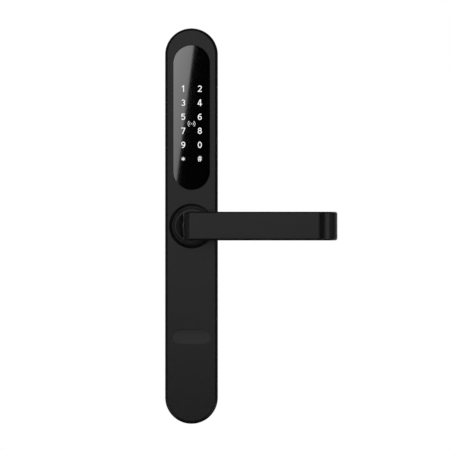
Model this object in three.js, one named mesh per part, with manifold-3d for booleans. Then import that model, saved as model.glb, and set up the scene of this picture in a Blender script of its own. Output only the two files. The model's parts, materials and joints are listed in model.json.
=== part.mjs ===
// Outside unit of a narrow-stile keypad lock: a slim case with a glass touch keypad, a lever handle with its
// clutch, and an emergency key cylinder behind a keyhole shutter.
//
// Millimetres. +Z is up, +X is the way the lever points, and -Y is the side that a visitor sees. The door's
// face is the plane y = 0, and the origin is where the lever's axis crosses it. In "back" and "front" pairs
// of y values, back is the side towards the door and front is the lower number.

import * as THREE from "three";
import { mergeVertices } from "three/addons/utils/BufferGeometryUtils.js";
import Module from "manifold-3d";

const wasm = await Module();
wasm.setup();

// ---------------------------------------------------------------------------------------------------------
// Driving dimensions
// ---------------------------------------------------------------------------------------------------------

const GAP = 0.05; // between faces that touch on the real lock
const SLACK = 0.15; // round a piece that slides or turns

const CASE = { width: 40, height: 300, front: -22, rear: -1.5, wall: 2.4, face: 3.2, round: 2.3 };
const FACE_BACK = CASE.front + CASE.face; // inner side of the case's front wall
const INNER = { width: CASE.width - 2 * CASE.wall, height: CASE.height - 2 * CASE.wall };
const GASKET = { width: 39.4, height: 299.4 };

const GLASS = { width: 27.7, height: 109.7, z: 82.3, thick: 1.7 };
const GLASS_BACK = CASE.front + GAP + GLASS.thick;
const POCKET_BACK = GLASS_BACK + 0.35; // floor of the glass pocket, 0.35 behind the glass for the tape
const BOARD_WINDOW = { width: 24, height: 106 }; // behind the glass; it leaves the ledge for the tape
const KEY_COLUMN_X = 6.3;
const KEY_TOP_Z = 104.2;
const KEY_PITCH = 10.65;
const KEY_ROWS = 6;

const LEVER = { front: -64, thick: 9, height: 21.7, end: 110.3, tip: -42, neck: 11.6, base: -27.7 };
const LEVER_EDGE = 1.6; // rounding of the bar's long edges
const LEFT_BEND = 5.5; // outer radius where the bar leaves the neck
const RIGHT_BEND = 15; // outer radius where the bar turns back to the door
const NECK_CORNER = 3.5; // inner radius between the neck and the bar
const TIP_ROUND = 3;
const SPIGOT = { radius: 4, front: -42 };
const GRUB = { y: -35.5, radius: 2, top: -4.1, hexagon: 1.3, depth: 2.2 };
const COLLAR = { radius: 13.3, front: -36, throat: 7, flare: 5.6, drop: 8.6, shoulder: -26.8 };
const SHANK_R = 9.9;
const HUB = { radius: 12.4, flange: 14.6, flangeThick: 1.15 };
const ROSETTE = { inner: 13.9, outer: 17, height: 3.4 };
const LEVER_TRAVEL = 50; // degrees from level to fully pressed

const KEY_Z = -85; // axis of the key cylinder, the usual 85 mm below the lever
const SHUTTER_WINDOW = { width: 29, height: 11, z: -84, lip: 0.8 };
const SHUTTER = { width: 31, height: 14, thick: 2.2, travel: 12.6 };
const DISH_DEPTH = 0.8; // how far the shutter's face slopes back up to the window's top edge
const CYLINDER = { outer: 8, bore: 5.95, plug: 5.8, lip: 6.6, front: -18.6, back: -2 };
const PLUG_CLIP = { inner: 5.1, outer: 6.9, front: -1.85, back: -1.35 };

const PLATE = { width: INNER.width - 0.4, height: INNER.height - 0.4, thick: 2 };
const PLATE_FRONT = -PLATE.thick;
const COUNTERSINK = { hole: 1.7, mouth: 3.3, front: -1.4, back: 0.2 };
const POST = { upper: 112, lower: -118, radius: 4, length: 30, thread: 2.1, threadStart: 8, flange: 6.4 };
const CABLE_Z = 58;
const GROMMET = { hole: 3.6, waist: 5.4, flange: 7 };
const SPINDLE = { side: 8, length: 45 };
const TAIL = { width: 8, thick: 2.2, length: 42 };

const CASE_SCREWS = [136, -27, -136].flatMap((z) => {
  const x = Math.abs(z) > 100 ? 11.2 : 13.6;
  return [[-x, z], [x, z]];
});
const BOARD_SCREWS = [[-14.2, 40], [14.2, 40], [-14.2, 122], [14.2, 122]];
const CASSETTE_SCREWS = [[14, 14], [-14, -14]];
const CYLINDER_SCREWS = [[-11.2, KEY_Z], [11.2, KEY_Z]];

// The clutch's pieces along the lever's axis, front to back.
const CIRCLIP = { front: -17.45, back: -16.5 };
const CASSETTE = { front: -16.2, floor: 0.8, back: -9.4, outer: 16.8, inner: 15.6 };
const CAM = { front: -11.2, back: -9.7, radius: 15, tab: 13.9 };
const CLUTCH = { front: -7.7, back: -4.85, radius: 12, neck: 10.6, dog: 8.7 }; // engaged; frees 1.6 forward
const FORK = { front: -6.75, back: -5.8 };
const FOLLOWER = { front: -4.8, step: -2.15, back: -0.1, radius: 11.5, journal: 8.8 };
const SHANK_SQUARE = 12.6;
const SOLENOID = { z: 26, radius: 5, front: -17.5, back: -9.6 };

const MAIN_BOARD = { width: 33.6, height: 94, z: 81, front: -12, thick: 1.4 };
const PORT = { y: -11, mouth: -148.2, depth: 7.5, width: 9, thick: 3.3 };
const PORT_BOARD = { width: 14, height: 15, z: -135.4, front: -9.3, back: -8.1 };

// ---------------------------------------------------------------------------------------------------------
// Materials
// ---------------------------------------------------------------------------------------------------------

function material(color, roughness, metalness) {
  return new THREE.MeshStandardMaterial({ color, roughness, metalness });
}

const BLACK_COAT = material(0x1b1b1b, 0.5, 0.1);
const BLACK_GLASS = material(0x050505, 0.05, 0);
const RUBBER = material(0x151515, 0.9, 0);
const POLYMER = material(0x1e1e20, 0.6, 0);
const NYLON = material(0xe4e0d4, 0.6, 0);
const CIRCUIT = material(0x14402a, 0.55, 0);
const STEEL = material(0x9a9c9e, 0.35, 1);
const BRASS = material(0xb5954f, 0.35, 1);
const COPPER = material(0xb06a3c, 0.4, 1);

// ---------------------------------------------------------------------------------------------------------
// Shapes and solids
// ---------------------------------------------------------------------------------------------------------

// A slot with round ends, upright or lying, as an outline in x and z.
function slot(width, height, x = 0, z = 0, Kind = THREE.Shape) {
  const r = Math.min(width, height) / 2;
  const run = Math.abs(height - width) / 2;
  const turn = height > width ? 0 : -Math.PI / 2;
  const [dx, dz] = height > width ? [0, run] : [run, 0];
  const outline = new Kind();
  outline.absarc(x + dx, z + dz, r, turn, turn + Math.PI, false);
  outline.absarc(x - dx, z - dz, r, turn + Math.PI, turn + 2 * Math.PI, false);
  outline.closePath();
  return outline;
}

// A rectangle with rounded corners, as an outline in x and z.
function rectangle(width, height, r, x = 0, z = 0) {
  const [w, h] = [width / 2 - r, height / 2 - r];
  const corners = [[w, h], [-w, h], [-w, -h], [w, -h]];
  const outline = new THREE.Shape();
  corners.forEach(([cx, cz], i) => {
    outline.absarc(x + cx, z + cz, r, (i * Math.PI) / 2, ((i + 1) * Math.PI) / 2, false);
  });
  outline.closePath();
  return outline;
}

// One outline with another taken out of its middle.
function ring(outer, inner) {
  outer.holes.push(inner);
  return outer;
}

// An outline in x and z made solid from y = back out to y = front, its two rims rounded.
function slab(outline, back, front, segments = 8, round = 0) {
  const geometry = new THREE.ExtrudeGeometry(outline, {
    depth: back - front - 2 * round,
    curveSegments: segments,
    bevelEnabled: round > 0,
    bevelThickness: round,
    bevelSize: round,
    bevelOffset: -round,
    bevelSegments: 2,
  });
  return geometry.translate(0, 0, round).rotateX(Math.PI / 2).translate(0, back, 0);
}

// A profile of [radius, y] points turned about the y axis. Its outer side runs from front to back.
function turned(profile, segments = 28) {
  return new THREE.LatheGeometry(profile.map(([r, y]) => new THREE.Vector2(r, y)), segments);
}

// A round ring about the y axis.
function hoop(inner, outer, front, back, segments = 28) {
  const section = [[inner, front], [outer, front], [outer, back], [inner, back], [inner, front]];
  return turned(section, segments);
}

// A cylinder along y, at a place in x and z.
function rod(radius, front, back, x = 0, z = 0, segments = 14) {
  const length = back - front;
  return new THREE.CylinderGeometry(radius, radius, length, segments).translate(x, (front + back) / 2, z);
}

// A box from its two extremes on each axis.
function block([x0, x1], [y0, y1], [z0, z1]) {
  const box = new THREE.BoxGeometry(x1 - x0, y1 - y0, z1 - z0);
  return box.translate((x0 + x1) / 2, (y0 + y1) / 2, (z0 + z1) / 2);
}

// A box of square section along y, centred on the axis.
function bar(side, front, back) {
  return block([-side / 2, side / 2], [front, back], [-side / 2, side / 2]);
}

function toSolid(geometry) {
  const bare = geometry.index ? geometry.toNonIndexed() : geometry.clone();
  bare.deleteAttribute("normal");
  bare.deleteAttribute("uv");
  const merged = mergeVertices(bare, 1e-4);
  const mesh = new wasm.Mesh({
    numProp: 3,
    vertProperties: merged.attributes.position.array,
    triVerts: new Uint32Array(merged.index.array),
  });
  return new wasm.Manifold(mesh);
}

function toGeometry(solid) {
  const { vertProperties, triVerts } = solid.getMesh();
  const geometry = new THREE.BufferGeometry();
  geometry.setAttribute("position", new THREE.BufferAttribute(vertProperties, 3));
  geometry.setIndex(new THREE.BufferAttribute(triVerts, 1));
  geometry.computeVertexNormals();
  return geometry;
}

function cut(body, ...tools) {
  return toGeometry(tools.reduce((left, tool) => left.subtract(toSolid(tool)), toSolid(body)));
}

function join(...bodies) {
  return toGeometry(bodies.map(toSolid).reduce((whole, next) => whole.add(next)));
}

const lock = new THREE.Group();

function add(name, geometry, finish) {
  const mesh = new THREE.Mesh(geometry, finish);
  mesh.name = name;
  lock.add(mesh);
  return mesh;
}

// ---------------------------------------------------------------------------------------------------------
// Case, gasket and back plate
// ---------------------------------------------------------------------------------------------------------

// A threaded boss that grows from the front wall back to y = back.
const boss = (x, z, radius, back) => rod(radius, FACE_BACK - 0.5, back, x, z, 10);

function caseShell() {
  const { width, height, front, rear, round } = CASE;
  const blank = slab(slot(width, height), rear + 2 * round, front, 10, round);
  const rearTrim = block([-width, width], [rear, rear + 10], [-height, height]);
  const cavity = slab(slot(INNER.width, INNER.height), 5, FACE_BACK);
  return cut(blank, rearTrim, cavity);
}

// Bosses and ribs that stand inside the case.
function caseSupports() {
  const ribBack = PORT_BOARD.front - GAP;
  const ribs = [-5.5, 5.5].map((x) => block([x - 0.8, x + 0.8], [FACE_BACK - 0.5, ribBack], [-139, -129]));
  return [
    ...CASE_SCREWS.map(([x, z]) => boss(x, z, 3.1, PLATE_FRONT - GAP)),
    ...BOARD_SCREWS.map(([x, z]) => boss(x, z, 2.3, MAIN_BOARD.front - GAP)),
    ...CASSETTE_SCREWS.map(([x, z]) => boss(x, z, 2.4, CASSETTE.front - GAP)),
    boss(0, SOLENOID.z, SOLENOID.radius, SOLENOID.front - GAP),
    ...ribs,
  ];
}

// Everything cut out of the case: the glass pocket, the lever's bore, the shutter's window and its track, the
// charging port's mouth and the screws' pilot holes.
function caseOpenings() {
  const ahead = CASE.front - 1;
  const behind = FACE_BACK + 1;
  const w = SHUTTER_WINDOW;
  const trackTop = w.z + SHUTTER.height / 2 + SHUTTER.travel + SLACK;
  const trackBottom = w.z - SHUTTER.height / 2 - GAP;
  const track = block(
    [-SHUTTER.width / 2 - SLACK, SHUTTER.width / 2 + SLACK],
    [CASE.front + w.lip, behind],
    [trackBottom, trackTop],
  );
  const mouth = new THREE.ExtrudeGeometry(slot(PORT.width + 0.6, PORT.thick + 0.6, 0, PORT.y), {
    depth: 8,
    curveSegments: 4,
    bevelEnabled: false,
  }).translate(0, 0, -CASE.height / 2 - 2);
  return [
    slab(slot(GLASS.width + 0.4, GLASS.height + 0.4, 0, GLASS.z), POCKET_BACK, ahead, 10),
    slab(slot(BOARD_WINDOW.width, BOARD_WINDOW.height, 0, GLASS.z), behind, ahead),
    rod(HUB.radius + 0.1, ahead, behind, 0, 0, 28),
    slab(slot(w.width, w.height, 0, w.z), behind, ahead, 6),
    track,
    mouth,
    ...CASE_SCREWS.map(([x, z]) => rod(1.25, -14, 0, x, z, 8)),
    ...BOARD_SCREWS.map(([x, z]) => rod(0.95, -17, 0, x, z, 8)),
    ...CASSETTE_SCREWS.map(([x, z]) => rod(1.25, -20.4, 0, x, z, 8)),
  ];
}

// Pins that hold the shutter's guide, their ends left straight.
const STAKES = [[-13, -63], [13, -63], [-13, -94], [13, -94]];
const stake = ([x, z]) => rod(1, FACE_BACK - 0.5, FACE_BACK + 1.6, x, z, 8);

function frontCase() {
  const body = join(caseShell(), ...caseSupports());
  return join(cut(body, ...caseOpenings()), ...STAKES.map(stake));
}

function rearGasket() {
  const middle = slot(INNER.width, INNER.height, 0, 0, THREE.Path);
  return slab(ring(slot(GASKET.width, GASKET.height), middle), 0, CASE.rear + GAP);
}

// A countersunk hole through the back plate, at a place in x and z.
function countersink(x, z) {
  const { hole, mouth, front, back } = COUNTERSINK;
  return turned([[0, -3], [hole, -3], [hole, front], [mouth, back], [0, back]], 10).translate(x, 0, z);
}

function backPlate() {
  const through = (radius, z, segments = 16) => rod(radius, -3, 1, 0, z, segments);
  return cut(
    slab(slot(PLATE.width, PLATE.height), 0, PLATE_FRONT),
    through(FOLLOWER.journal + 0.2, 0, 28),
    through(PLUG_CLIP.outer + 0.3, KEY_Z, 20),
    through(GROMMET.waist + 0.1, CABLE_Z),
    through(POST.radius + GAP, POST.upper),
    through(POST.radius + GAP, POST.lower),
    ...[...CASE_SCREWS, ...CYLINDER_SCREWS].map(([x, z]) => countersink(x, z)),
  );
}

// A threaded post that stands out of the back plate for a through bolt from the inside unit.
function mountingPost(z) {
  const { radius, length, thread, threadStart, flange } = POST;
  const flangeFront = PLATE_FRONT - 1.6;
  const seat = PLATE_FRONT - GAP;
  const chamfer = 0.6;
  return turned([
    [0, flangeFront],
    [flange, flangeFront],
    [flange, seat],
    [radius, seat],
    [radius, length - chamfer],
    [radius - chamfer, length],
    [thread, length],
    [thread, threadStart],
    [0, threadStart],
  ], 16).translate(0, 0, z);
}

function cableGrommet() {
  const { hole, waist, flange } = GROMMET;
  const flangeFront = PLATE_FRONT - 1.2;
  const seat = PLATE_FRONT - GAP;
  return turned([
    [hole, flangeFront],
    [flange, flangeFront],
    [flange, seat],
    [waist, seat],
    [waist, -GAP],
    [hole, -GAP],
    [hole, flangeFront],
  ], 16).translate(0, 0, CABLE_Z);
}

// A countersunk screw along y, its head flush with the door face.
function countersunkScrew(radius, length) {
  const head = turned([
    [0, -length],
    [radius * 0.6, -length],
    [radius, -length + 0.8],
    [radius, -1.6],
    [2.9, -0.1],
    [0, -0.1],
  ], 10);
  return cut(head, rod(1.1, -1.1, 1, 0, 0, 6));
}

// A cheese-head screw along y with its head at the back, its seat at y = 0.
function panScrew(radius, length, headRadius, headHeight) {
  const blank = turned([
    [0, -length],
    [radius, -length],
    [radius, 0],
    [headRadius, 0],
    [headRadius, headHeight - 0.3],
    [headRadius - 0.3, headHeight],
    [0, headHeight],
  ], 10);
  const halfSlot = headRadius * 0.7;
  return cut(blank, block([-halfSlot, halfSlot], [headHeight - 0.6, headHeight + 1], [-0.25, 0.25]));
}

// ---------------------------------------------------------------------------------------------------------
// Keypad and electronics
// ---------------------------------------------------------------------------------------------------------

function touchGlass() {
  return slab(slot(GLASS.width, GLASS.height, 0, GLASS.z), GLASS_BACK, CASE.front + GAP, 10, 0.25);
}

function glassTape() {
  const outer = slot(GLASS.width - 0.4, GLASS.height - 0.4, 0, GLASS.z);
  const inner = slot(BOARD_WINDOW.width + 0.8, BOARD_WINDOW.height + 0.8, 0, GLASS.z, THREE.Path);
  return slab(ring(outer, inner), POCKET_BACK - 0.03, GLASS_BACK + 0.03);
}

// The touch board with one light behind each key.
function touchBoard() {
  const back = FACE_BACK - 0.1;
  const outline = slot(BOARD_WINDOW.width - 0.6, BOARD_WINDOW.height - 0.6, 0, GLASS.z);
  const board = slab(outline, back, GLASS_BACK + 0.15);
  const lights = [];
  for (let row = 0; row < KEY_ROWS; row++) {
    for (const x of [-KEY_COLUMN_X, KEY_COLUMN_X]) {
      const z = KEY_TOP_Z - row * KEY_PITCH;
      lights.push(block([x - 1, x + 1], [back - 0.3, back + 0.5], [z - 0.6, z + 0.6]));
    }
  }
  return join(board, ...lights);
}

function cardAntenna() {
  const outline = ring(slot(20, 64, 0, GLASS.z), slot(16, 60, 0, GLASS.z, THREE.Path));
  return slab(outline, FACE_BACK + 0.3, FACE_BACK - GAP, 6);
}

function mainBoard() {
  const { width, height, z, front, thick } = MAIN_BOARD;
  const back = front + thick;
  const board = slab(rectangle(width, height, 3, 0, z), back, front, 4);
  const chips = [
    block([-4.5, 4.5], [back - 0.3, back + 1.1], [79, 88]),
    block([-12, -7], [back - 0.3, back + 1.4], [66, 73]),
    block([6, 11], [back - 0.3, back + 2.6], [92, 101]),
  ];
  return cut(join(board, ...chips), ...BOARD_SCREWS.map(([x, bz]) => rod(1.2, -14, -9, x, bz, 8)));
}

// The socket that the loom from the inside unit plugs into, open towards the grommet.
function cableSocket() {
  const front = MAIN_BOARD.front + MAIN_BOARD.thick + GAP;
  const shell = block([-4.4, 4.4], [front, -5.4], [CABLE_Z - 3.2, CABLE_Z + 3.2]);
  return cut(shell, block([-3.6, 3.6], [front + 1, -5], [CABLE_Z - 2.4, CABLE_Z + 2.4]));
}

// The charging socket for emergency power, its mouth in the bottom end of the case.
function powerPort() {
  const { y, mouth, depth, width, thick } = PORT;
  const along = (w, t, length) =>
    new THREE.ExtrudeGeometry(slot(w, t, 0, y), { depth: length, curveSegments: 4, bevelEnabled: false });
  const shell = along(width, thick, depth).translate(0, 0, mouth);
  const hollow = along(width - 0.7, thick - 0.7, depth).translate(0, 0, mouth - 1.2);
  const tongue = block([-3.3, 3.3], [y - 0.35, y + 0.35], [mouth + 1, mouth + depth - 0.5]);
  return join(cut(shell, hollow), tongue);
}

function portBoard() {
  const { width, height, z, front, back } = PORT_BOARD;
  return slab(rectangle(width, height, 1, 0, z), back, front, 3);
}

// ---------------------------------------------------------------------------------------------------------
// Lever and the pieces that turn with it
// ---------------------------------------------------------------------------------------------------------

// The bar seen from above: out of the neck, along the door and back towards it.
function leverOutline() {
  const { front, thick, end, neck, base, tip } = LEVER;
  const back = front + thick;
  const left = -neck / 2;
  const right = neck / 2;
  const legIn = end - thick;
  const bendX = end - RIGHT_BEND;
  const bendY = front + RIGHT_BEND;
  const innerBend = RIGHT_BEND - thick;
  const o = new THREE.Shape();
  o.moveTo(right, base);
  o.lineTo(left, base);
  o.absarc(left + LEFT_BEND, front + LEFT_BEND, LEFT_BEND, Math.PI, 1.5 * Math.PI, false);
  o.absarc(bendX, bendY, RIGHT_BEND, -Math.PI / 2, 0, false);
  o.absarc(end - TIP_ROUND, tip - TIP_ROUND, TIP_ROUND, 0, Math.PI / 2, false);
  o.absarc(legIn + TIP_ROUND, tip - TIP_ROUND, TIP_ROUND, Math.PI / 2, Math.PI, false);
  o.absarc(bendX, bendY, innerBend, 0, -Math.PI / 2, true);
  o.absarc(right + NECK_CORNER, back + NECK_CORNER, NECK_CORNER, 1.5 * Math.PI, Math.PI, true);
  o.closePath();
  return o;
}

function leverHandle() {
  const { height } = LEVER;
  const bent = new THREE.ExtrudeGeometry(leverOutline(), {
    depth: height - 2 * LEVER_EDGE,
    curveSegments: 4,
    bevelEnabled: true,
    bevelThickness: LEVER_EDGE,
    bevelSize: LEVER_EDGE,
    bevelOffset: -LEVER_EDGE,
    bevelSegments: 2,
  }).translate(0, 0, LEVER_EDGE - height / 2);
  const socket = rod(SPIGOT.radius + SLACK, SPIGOT.front - 0.5, 0, 0, 0, 16);
  const grubHole = new THREE.CylinderGeometry(GRUB.radius + 0.15, GRUB.radius + 0.15, 12, 12)
    .rotateX(Math.PI / 2)
    .translate(0, GRUB.y, -10);
  return cut(bent, socket, grubHole);
}

// The set screw that clamps the lever on its spigot, hexagon socket down.
function grubScrew() {
  const bottom = -LEVER.height / 2 + 0.5;
  const upright = (radius, low, high, segments) =>
    new THREE.CylinderGeometry(radius, radius, high - low, segments)
      .rotateX(Math.PI / 2)
      .translate(0, GRUB.y, (low + high) / 2);
  const socket = upright(GRUB.hexagon, bottom - 1, bottom + GRUB.depth, 6);
  return cut(upright(GRUB.radius, bottom, GRUB.top, 12), socket);
}

// The flared collar round the foot of the neck.
function handleCollar() {
  const { radius, front, throat, flare, drop, shoulder } = COLLAR;
  const foot = CASE.front - 0.4;
  const curve = [];
  const steps = 5;
  for (let i = 0; i <= steps; i++) {
    const turn = (i / steps) * (Math.PI / 2);
    curve.push([throat + flare * (1 - Math.cos(turn)), front + drop * Math.sin(turn)]);
  }
  const blank = turned([[0, front], ...curve, [radius, shoulder], [radius, foot], [0, foot]], 32);
  const halfNeck = LEVER.neck / 2 + 0.2;
  const halfHeight = LEVER.height / 2 + 0.2;
  const neckRoom = block([-halfNeck, halfNeck], [-40, LEVER.base + 0.1], [-halfHeight, halfHeight]);
  return cut(blank, rod(SHANK_R + SLACK, LEVER.base, -20, 0, 0, 32), neckRoom);
}

// The steel shank: a spigot in the lever, a round journal, a circlip groove and a square drive.
function leverShank() {
  const journal = turned([
    [0, SPIGOT.front],
    [SPIGOT.radius, SPIGOT.front],
    [SPIGOT.radius, LEVER.base + GAP],
    [SHANK_R, LEVER.base + GAP],
    [SHANK_R, CIRCLIP.front - GAP],
    [SHANK_R - 0.9, CIRCLIP.front - GAP],
    [SHANK_R - 0.9, CIRCLIP.back + GAP],
    [SHANK_R, CIRCLIP.back + GAP],
    [SHANK_R, CAM.front - 0.1],
    [0, CAM.front - 0.1],
  ]);
  return join(journal, bar(SHANK_SQUARE, CAM.front - 0.5, FOLLOWER.front - 0.5));
}

function retainingRing() {
  const clip = hoop(SHANK_R - 0.8, 12.2, CIRCLIP.front, CIRCLIP.back);
  return cut(clip, block([-2, 2], [-20, -10], [-14, 0]));
}

// The disc that winds the return spring, with a tab that meets the cassette's two stops.
function stopCam() {
  const disc = rod(CAM.radius, CAM.front, CAM.back, 0, 0, 28);
  const tab = block([-1.5, 1.5], [-15.1, CAM.front + 0.5], [CAM.tab, 14.9]);
  return cut(join(disc, tab), bar(SHANK_SQUARE + 2 * SLACK, -20, 0));
}

// ---------------------------------------------------------------------------------------------------------
// Fixed pieces round the lever's axis
// ---------------------------------------------------------------------------------------------------------

function rosette() {
  const { inner, outer, height } = ROSETTE;
  const back = CASE.front - GAP;
  const front = CASE.front - height;
  return turned([
    [inner, front + 0.3],
    [inner + 0.3, front],
    [inner + 0.7, front],
    [outer - 0.3, back - 1],
    [outer, back - 0.7],
    [outer, back],
    [inner, back],
    [inner, front + 0.3],
  ], 32);
}

function hubBush() {
  const bore = SHANK_R + SLACK;
  const front = CASE.front + 0.1;
  const flangeFront = FACE_BACK + GAP;
  const back = flangeFront + HUB.flangeThick;
  return turned([
    [bore, front],
    [HUB.radius, front],
    [HUB.radius, flangeFront],
    [HUB.flange, flangeFront],
    [HUB.flange, back],
    [bore, back],
    [bore, front],
  ]);
}

// A stop inside the cassette, at an angle counted from +X towards +Z.
function stopLug(degrees) {
  const lug = block([14, CASSETTE.inner + 0.4], [CASSETTE.front + 0.4, CAM.front - 0.4], [-1.3, 1.3]);
  return lug.rotateY(-THREE.MathUtils.degToRad(degrees));
}

const TAB_ANGLE = 90; // where the cam's tab stands with the lever level
const STOP_REACH = 12; // half widths of tab and stop together, with a little room

function springCassette() {
  const { front, floor, back, outer, inner } = CASSETTE;
  const cup = cut(rod(outer, front, back, 0, 0, 28), rod(inner, front + floor, back + 1, 0, 0, 28));
  const ears = CASSETTE_SCREWS.map(([x, z]) => rod(3.4, front, front + 1.2, x, z));
  const stops = [TAB_ANGLE + STOP_REACH, TAB_ANGLE - LEVER_TRAVEL - STOP_REACH].map(stopLug);
  const holes = CASSETTE_SCREWS.map(([x, z]) => rod(1.4, front - 1, back, x, z, 8));
  return cut(join(cup, ...ears, ...stops), rod(10.4, front - 1, back, 0, 0, 28), ...holes);
}

// The torsion spring's centreline: two turns, its ends flared out to the stop and to the cam's tab.
class SpringLine extends THREE.Curve {
  getPoint(t) {
    const start = THREE.MathUtils.degToRad(TAB_ANGLE + 25);
    const sweep = THREE.MathUtils.degToRad(2 * 360 - 37);
    const angle = start + sweep * t;
    const nearEnd = Math.max(0, 1 - Math.min(t, 1 - t) / 0.03);
    const r = 12.5 + 2.1 * nearEnd;
    return new THREE.Vector3(r * Math.cos(angle), -14.4 + 2.3 * t, r * Math.sin(angle));
  }
}

function returnSpring() {
  const wire = new THREE.Shape().absarc(0, 0, 0.55, 0, 2 * Math.PI, false);
  return new THREE.ExtrudeGeometry(wire, { steps: 48, curveSegments: 3, extrudePath: new SpringLine() });
}

// ---------------------------------------------------------------------------------------------------------
// Clutch, spindle and solenoid
// ---------------------------------------------------------------------------------------------------------

// The grooved ring that slides on the square drive, with two dogs that catch the follower.
function clutchRing() {
  const { front, back, radius, neck, dog } = CLUTCH;
  const blank = turned([
    [0, front],
    [radius, front],
    [radius, front + 0.85],
    [neck, front + 0.85],
    [neck, back - 0.85],
    [radius, back - 0.85],
    [radius, back],
    [0, back],
  ]);
  const dogs = [-dog, dog].map((x) => block([x - 1.5, x + 1.5], [back - 0.3, back + 1.4], [-1.5, 1.5]));
  return cut(join(blank, ...dogs), bar(SHANK_SQUARE + 2 * SLACK, -20, 0));
}

function clutchFollower() {
  const { front, step, back, radius, journal } = FOLLOWER;
  const section = [[0, front], [radius, front], [radius, step], [journal, step], [journal, back], [0, back]];
  const pocket = (x) => block([x - 1.75, x + 1.75], [front - 1, front + 1.6], [-1.75, 1.75]);
  const pockets = [-CLUTCH.dog, CLUTCH.dog].map(pocket);
  return cut(turned(section), bar(SPINDLE.side + 0.2, -10, 5), ...pockets);
}

function spindle() {
  return slab(rectangle(SPINDLE.side, SPINDLE.side, 0.6), SPINDLE.length, FOLLOWER.front + GAP, 2);
}

function clutchSolenoid() {
  const { z, radius, front, back } = SOLENOID;
  return cut(rod(radius, front, back, 0, z, 20), rod(1.7, -14.5, 0, 0, z, 12));
}

function solenoidPlunger() {
  return turned([
    [0, -12.7],
    [1.5, -12.7],
    [1.5, FORK.back + GAP],
    [2.4, FORK.back + GAP],
    [2.4, FORK.back + 0.8],
    [0, FORK.back + 0.8],
  ], 12).translate(0, 0, SOLENOID.z);
}

// The flat fork that rides in the clutch ring's groove and hangs on the plunger.
function shiftFork() {
  const { front, back } = FORK;
  const hoopPart = hoop(CLUTCH.neck + 0.15, 14.3, front, back);
  const upperHalf = cut(hoopPart, block([-20, 20], [-20, 0], [-20, 0]));
  const stem = block([-3, 3], [front, back], [13.5, SOLENOID.z]);
  const eye = rod(3.4, front, back, 0, SOLENOID.z);
  return cut(join(upperHalf, stem, eye), rod(1.65, -20, 0, 0, SOLENOID.z, 12));
}

// ---------------------------------------------------------------------------------------------------------
// Keyhole shutter and key cylinder
// ---------------------------------------------------------------------------------------------------------

// The plate that closes the keyhole window. Its face is hollowed by a long roller, deepest at the window's
// top edge and flush again at its bottom edge. Sliding the plate up shows the keyhole.
function keyholeShutter() {
  const { width, height, thick } = SHUTTER;
  const { height: windowHeight, z, lip } = SHUTTER_WINDOW;
  const front = CASE.front + lip + GAP;
  const plate = slab(rectangle(width, height, 1, 0, z), front + thick, front, 3);
  const rollerR = (windowHeight ** 2 + DISH_DEPTH ** 2) / (2 * DISH_DEPTH);
  const roller = new THREE.CylinderGeometry(rollerR, rollerR, width + 2, 160)
    .rotateZ(Math.PI / 2)
    .translate(0, front + DISH_DEPTH - rollerR, z + windowHeight / 2);
  return cut(plate, roller);
}

// The sheet that keeps the shutter in its track, held on four stakes of the case.
function shutterGuide() {
  const sheet = slab(rectangle(33, 35, 2, 0, -78.5), FACE_BACK + 0.85, FACE_BACK + GAP, 3);
  const holes = STAKES.map(([x, z]) => rod(1.15, -20, 0, x, z, 8));
  return cut(sheet, rod(CYLINDER.outer + 0.4, -20, 0, 0, KEY_Z, 24), ...holes);
}

function keyCylinder() {
  const { outer, bore, lip, front, back } = CYLINDER;
  const foot = back - GAP;
  const barrel = turned([[0, front], [outer - 0.3, front], [outer, front + 0.3], [outer, foot], [0, foot]]);
  const flange = slab(slot(29, 14), foot, back - 2.7, 6);
  const threads = CYLINDER_SCREWS.map(([x]) => rod(1.55, -10, 0, x, 0, 10));
  const room = [rod(bore, -25, 0, 0, 0, 24), rod(lip + SLACK, -25, front + 1.35, 0, 0, 24)];
  return cut(join(barrel, flange), ...room, ...threads).translate(0, 0, KEY_Z);
}

// The plug is held by its lip at the front and a spring clip in a groove at the back.
function cylinderPlug() {
  const { plug, lip, front } = CYLINDER;
  const blank = turned([
    [0, front],
    [lip, front],
    [lip, front + 1.2],
    [plug, front + 1.2],
    [plug, PLUG_CLIP.front - GAP],
    [PLUG_CLIP.inner - 0.1, PLUG_CLIP.front - GAP],
    [PLUG_CLIP.inner - 0.1, PLUG_CLIP.back + GAP],
    [plug, PLUG_CLIP.back + GAP],
    [plug, -0.6],
    [0, -0.6],
  ], 24);
  const keyway = block([-1.2, 1.2], [front - 1, -8], [-4.2, 4.2]);
  const halfWidth = TAIL.width / 2 + 0.1;
  const halfThick = TAIL.thick / 2 + 0.1;
  const tailSlot = block([-halfWidth, halfWidth], [-6, 1], [-halfThick, halfThick]);
  return cut(blank, keyway, tailSlot).translate(0, 0, KEY_Z);
}

function plugClip() {
  const { inner, outer, front, back } = PLUG_CLIP;
  const gap = block([-1.6, 1.6], [-5, 1], [-9, 0]);
  return cut(hoop(inner, outer, front, back, 20), gap).translate(0, 0, KEY_Z);
}

// The flat bar that carries the key's turn through the door.
function tailBar() {
  return slab(rectangle(TAIL.width, TAIL.thick, 0.4), TAIL.length, -5.8, 2).translate(0, 0, KEY_Z);
}

// ---------------------------------------------------------------------------------------------------------
// Assembly
// ---------------------------------------------------------------------------------------------------------

// One screw at each place, seated at a y.
function addScrews(name, places, y, make, finish) {
  places.forEach(([x, z], i) => add(`${name}_${i + 1}`, make(), finish).position.set(x, y, z));
}

add("front_case", frontCase(), BLACK_COAT);
add("rear_gasket", rearGasket(), RUBBER);
add("back_plate", backPlate(), STEEL);
add("mounting_post_upper", mountingPost(POST.upper), STEEL);
add("mounting_post_lower", mountingPost(POST.lower), STEEL);
add("cable_grommet", cableGrommet(), RUBBER);
addScrews("case_screw", CASE_SCREWS, 0, () => countersunkScrew(1.1, 13), STEEL);

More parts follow.
